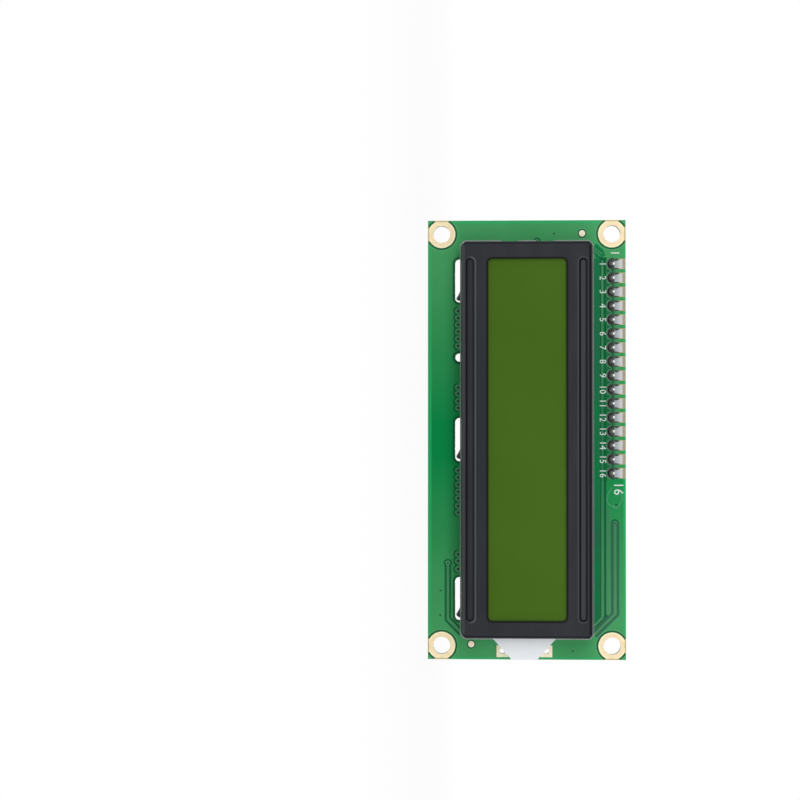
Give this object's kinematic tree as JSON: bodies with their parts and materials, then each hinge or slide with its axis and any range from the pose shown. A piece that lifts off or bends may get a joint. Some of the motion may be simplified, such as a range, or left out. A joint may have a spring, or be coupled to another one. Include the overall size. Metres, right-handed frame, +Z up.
{
  "type": "character lcd module",
  "caption": "Character display module: green circuit board with a black framed yellow-green display, edge lamp, and a black bus adapter board soldered behind it.",
  "frame": {"origin": "centre of the four corner holes, on the main board's front face", "axes": "-Y is the way the display looks, +Z is up towards the pin header's long edge, +X runs along the board towards the lamp"},
  "size_m": [0.0802, 0.0174, 0.036],
  "materials": {
    "green_board": "solder mask over glass laminate",
    "gold_pads": "thin gold plating",
    "black_steel": "satin black",
    "display_film": "satin film",
    "glass_pane": "clear",
    "contact_rubber": "matt",
    "guide_acrylic": "milky",
    "white_film": "matt white",
    "lamp_plastic": "milky",
    "tinned_metal": "bright tin",
    "tinned_pads": "bright tin",
    "solder": "bright solder",
    "epoxy": "satin black",
    "resistor_black": "satin",
    "black_plastic": "moulded",
    "black_board": "solder mask over glass laminate",
    "chip_plastic": "moulded, fine grain",
    "blue_plastic": "moulded",
    "rotor_plastic": "moulded",
    "clip_brass": "bright",
    "capacitor_ceramic": "matt",
    "led_epoxy": "milky"
  },
  "bodies": {
    "module": {"main_board": "green_board", "mount_rings": "gold_pads", "header_pads": "gold_pads", "tab_pads": "gold_pads", "lamp_pads": "gold_pads", "alignment_marks": "gold_pads", "part_pads": "gold_pads", "contact_fingers": "gold_pads", "bezel": "black_steel", "front_polarizer": "display_film", "front_glass": "glass_pane", "rear_glass": "glass_pane", "rear_polarizer": "display_film", "contact_strip_upper": "contact_rubber", "contact_strip_lower": "contact_rubber", "light_guide": "guide_acrylic", "diffuser_film": "white_film", "reflector_film": "white_film", "backlight_lamp": "lamp_plastic", "lamp_leads": "tinned_metal", "lamp_solder": "solder", "driver_drop_right": "epoxy", "driver_drop_left": "epoxy", "board_resistors": "resistor_black", "board_resistor_ends": "solder", "solder_bridge": "solder", "joining_pins": "tinned_metal", "joining_strip": "black_plastic", "joining_solder_front": "solder", "joining_solder_back": "solder", "adapter_board": "black_board", "adapter_pads": "tinned_pads", "expander_chip": "chip_plastic", "expander_leads": "tinned_metal", "trimmer_housing": "blue_plastic", "trimmer_base": "black_plastic", "trimmer_leads": "tinned_metal", "bus_header_pins": "tinned_metal", "bus_header_strip": "black_plastic", "jumper_header_pins": "tinned_metal", "jumper_header_strip": "black_plastic", "header_tail_solder": "solder", "adapter_resistors": "resistor_black", "adapter_resistor_ends": "solder", "adapter_capacitor": "capacitor_ceramic", "adapter_capacitor_ends": "solder", "power_led": "led_epoxy", "power_led_ends": "solder", "transistor": "chip_plastic", "transistor_leads": "tinned_metal"},
    "rotor": {"trimmer_rotor": "rotor_plastic"},
    "cap": {"jumper_cap": "black_plastic", "jumper_clip": "clip_brass"}
  },
  "joints": [
    {"name": "contrast_trim", "type": "hinge", "parent": "module", "child": "rotor", "pos_m": [-0.0241, 0.01, 0.0087], "axis": [0, 1, 0], "range_deg": [-105, 105]},
    {"name": "jumper_pull", "type": "slide", "parent": "module", "child": "cap", "axis": [1, 0, 0], "range_m": [0, 0.008]}
  ]
}
